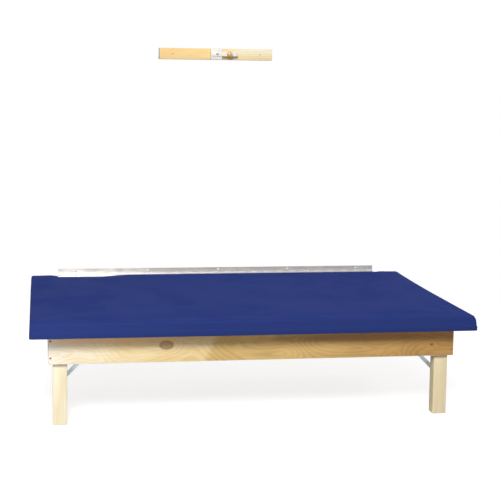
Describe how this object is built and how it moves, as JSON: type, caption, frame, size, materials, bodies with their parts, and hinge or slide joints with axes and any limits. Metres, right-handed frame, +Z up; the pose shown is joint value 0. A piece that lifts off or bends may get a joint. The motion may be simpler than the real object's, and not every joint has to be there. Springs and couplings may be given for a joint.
{
  "type": "folding mat platform",
  "caption": "Wall-hung padded platform on a long hinge, with folding braced front legs and a turn catch on the wall that holds it folded up.",
  "frame": {"origin": "middle of the wall hinge leaf's back face, on the wall, 528.3 mm above the floor", "axes": "+X along the mat's length, +Y into the wall, +Z up"},
  "size_m": [2.134, 1.219, 1.7933],
  "materials": {
    "vinyl": "royal blue upholstery vinyl, fine grain, satin",
    "foam": "open-cell foam",
    "plywood": "clear-lacquered plywood with cathedral grain",
    "pine": "clear-lacquered pale pine",
    "turned_wood": "lacquered turned beech",
    "hinge_steel": "bright rolled steel",
    "screw_steel": "bright zinc",
    "dark_steel": "dark phosphated steel",
    "zinc_steel": "blue-grey zinc-plated steel",
    "white_block": "white moulded plastic",
    "white_steel": "white enamelled steel"
  },
  "bodies": {
    "wall_side": {"wall_hinge_leaf": "hinge_steel", "hinge_pin": "hinge_steel", "wall_screw_1": "screw_steel", "wall_screw_2": "screw_steel", "wall_screw_3": "screw_steel", "wall_screw_4": "screw_steel", "wall_screw_5": "screw_steel", "catch_cleat": "pine", "catch_screw_left": "dark_steel", "catch_screw_right": "dark_steel", "latch_block": "white_block", "latch_pivot_screw": "screw_steel"},
    "latch": {"latch_bar": "white_steel", "latch_knob": "turned_wood"},
    "platform": {"deck_hinge_leaf": "hinge_steel", "leaf_screw_1": "screw_steel", "leaf_screw_2": "screw_steel", "leaf_screw_3": "screw_steel", "leaf_screw_4": "screw_steel", "leaf_screw_5": "screw_steel", "vinyl_cover": "vinyl", "foam_core": "foam", "hinge_rail": "pine", "deck_panel": "plywood", "front_rail": "plywood", "rear_rail": "plywood", "left_end_rail": "plywood", "right_end_rail": "plywood", "inner_rail": "plywood", "joist_1": "pine", "joist_2": "pine", "joist_3": "pine", "channel_spacer": "pine", "rail_screw_left_lower": "dark_steel", "rail_screw_left_upper": "dark_steel", "rail_screw_right_lower": "dark_steel", "rail_screw_right_upper": "dark_steel", "left_leg_bolt": "dark_steel", "right_leg_bolt": "dark_steel", "left_brace_anchor_bolt": "zinc_steel", "right_brace_anchor_bolt": "zinc_steel"},
    "left_leg": {"left_leg": "pine", "left_brace_foot_bolt": "zinc_steel"},
    "right_leg": {"right_leg": "pine", "right_brace_foot_bolt": "zinc_steel"},
    "left_upper_brace": {"left_upper_brace": "zinc_steel", "left_knee_rivet": "zinc_steel"},
    "left_lower_brace": {"left_lower_brace": "zinc_steel"},
    "right_upper_brace": {"right_upper_brace": "zinc_steel", "right_knee_rivet": "zinc_steel"},
    "right_lower_brace": {"right_lower_brace": "zinc_steel"}
  },
  "joints": [
    {"name": "platform_fold", "type": "hinge", "parent": "wall_side", "child": "platform", "pos_m": [0, -0.007, -0.013], "axis": [-1, 0, 0], "range_deg": [0, 90]},
    {"name": "latch_turn", "type": "hinge", "parent": "wall_side", "child": "latch", "pos_m": [-0.0375, -0.0914, 1.234], "axis": [0, 1, 0], "range_deg": [0, 90]},
    {"name": "left_leg_fold", "type": "hinge", "parent": "platform", "child": "left_leg", "pos_m": [-0.9245, -1.086, -0.1284], "axis": [0, -1, 0], "range_deg": [0, 90]},
    {"name": "right_leg_fold", "type": "hinge", "parent": "platform", "child": "right_leg", "pos_m": [0.9245, -1.086, -0.1284], "axis": [0, 1, 0], "range_deg": [0, 90]},
    {"name": "left_upper_brace_turn", "type": "hinge", "parent": "platform", "child": "left_upper_brace", "pos_m": [-0.7695, -1.0489, -0.1794], "axis": [0, 1, 0], "range_deg": [0, 73.1]},
    {"name": "left_lower_brace_turn", "type": "hinge", "parent": "left_leg", "child": "left_lower_brace", "pos_m": [-0.9245, -1.0545, -0.3344], "axis": [0, -1, 0], "range_deg": [0, 48.97]},
    {"name": "right_upper_brace_turn", "type": "hinge", "parent": "platform", "child": "right_upper_brace", "pos_m": [0.7695, -1.0489, -0.1794], "axis": [0, -1, 0], "range_deg": [0, 73.1]},
    {"name": "right_lower_brace_turn", "type": "hinge", "parent": "right_leg", "child": "right_lower_brace", "pos_m": [0.9245, -1.0545, -0.3344], "axis": [0, 1, 0], "range_deg": [0, 48.97]}
  ],
  "couplings": [
    {"joint": "left_upper_brace_turn", "follows": "left_leg_fold", "ratio": 0.81221},
    {"joint": "left_lower_brace_turn", "follows": "left_leg_fold", "ratio": 0.54404},
    {"joint": "right_upper_brace_turn", "follows": "right_leg_fold", "ratio": 0.81221},
    {"joint": "right_lower_brace_turn", "follows": "right_leg_fold", "ratio": 0.54404}
  ]
}
